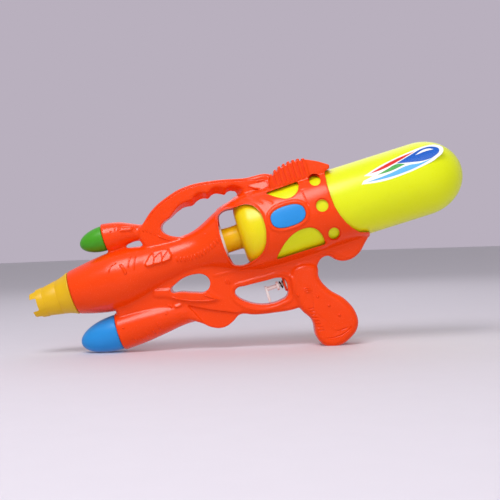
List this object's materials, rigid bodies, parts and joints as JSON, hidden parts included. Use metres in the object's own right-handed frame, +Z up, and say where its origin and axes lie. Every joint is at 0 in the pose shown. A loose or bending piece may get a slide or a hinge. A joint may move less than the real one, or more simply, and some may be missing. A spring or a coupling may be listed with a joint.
{
  "type": "water squirter",
  "caption": "Toy water squirter with a screw-in tank, trigger pump, carrying handle, pistol grip and coloured nose caps, leaning back on its lower nose and heel",
  "frame": {"origin": "On the ground under the middle of the standing toy", "axes": "+X rearward from the nozzle to the tank, +Y to the right side that carries the screws, +Z up; the barrel leans back so that the lower nose cap and the heel of the grip both touch the ground"},
  "size_m": [0.4368, 0.0828, 0.1998],
  "materials": {
    "shell_orange": "glossy moulded polypropylene, orange red",
    "tank_lemon": "glossy blow-moulded polyethylene, lemon yellow, slightly translucent",
    "crown_gold": "satin moulded plastic, golden yellow",
    "cap_green": "satin moulded plastic, leaf green",
    "cap_blue": "satin moulded plastic, sky blue",
    "white_plastic": "natural moulded plastic",
    "clear_vinyl": "soft clear hose",
    "black_spring": "black oxide spring wire",
    "black_rubber": "matte rubber",
    "steel": "zinc plated steel"
  },
  "bodies": {
    "body": {"left_body_shell": "shell_orange", "right_body_shell": "shell_orange", "tank_coupling": "white_plastic", "tank_neck_washer": "black_rubber", "pickup_tube": "clear_vinyl", "suction_hose": "clear_vinyl", "delivery_hose": "clear_vinyl", "pump_cylinder": "white_plastic", "valve_block": "white_plastic", "inlet_valve_body": "white_plastic", "outlet_valve_body": "white_plastic", "trigger_spring": "black_spring", "nozzle_crown": "crown_gold", "jet_nozzle": "white_plastic", "upper_nose_cap": "cap_green", "lower_nose_cap": "cap_blue", "left_oval_inlay": "cap_blue", "right_oval_inlay": "cap_blue", "shell_screw_1": "steel", "shell_screw_2": "steel", "shell_screw_3": "steel", "shell_screw_4": "steel", "shell_screw_5": "steel", "shell_screw_6": "steel", "shell_screw_7": "steel", "shell_screw_8": "steel"},
    "trigger_unit": {"trigger": "white_plastic", "piston_seal": "black_rubber"},
    "tank": {"water_tank": "tank_lemon"},
    "inlet_ball": {"inlet_valve_ball": "steel"},
    "outlet_ball": {"outlet_valve_ball": "steel"}
  },
  "joints": [
    {"name": "trigger_slide", "type": "slide", "parent": "body", "child": "trigger_unit", "axis": [0.9632, 0, 0.2687], "range_m": [0, 0.0095], "stiffness_N_per_m": 350, "springref_m": -0.006, "deforming": ["trigger_spring"]},
    {"name": "tank_pull", "type": "slide", "parent": "body", "child": "tank", "axis": [0.9632, 0, 0.2687], "range_m": [0, 0.155]},
    {"name": "inlet_ball_lift", "type": "slide", "parent": "body", "child": "inlet_ball", "axis": [0.9632, 0, 0.2687], "range_m": [0, 0.0012]},
    {"name": "outlet_ball_close", "type": "slide", "parent": "body", "child": "outlet_ball", "axis": [0.9632, 0, 0.2687], "range_m": [0, 0.0012]}
  ]
}
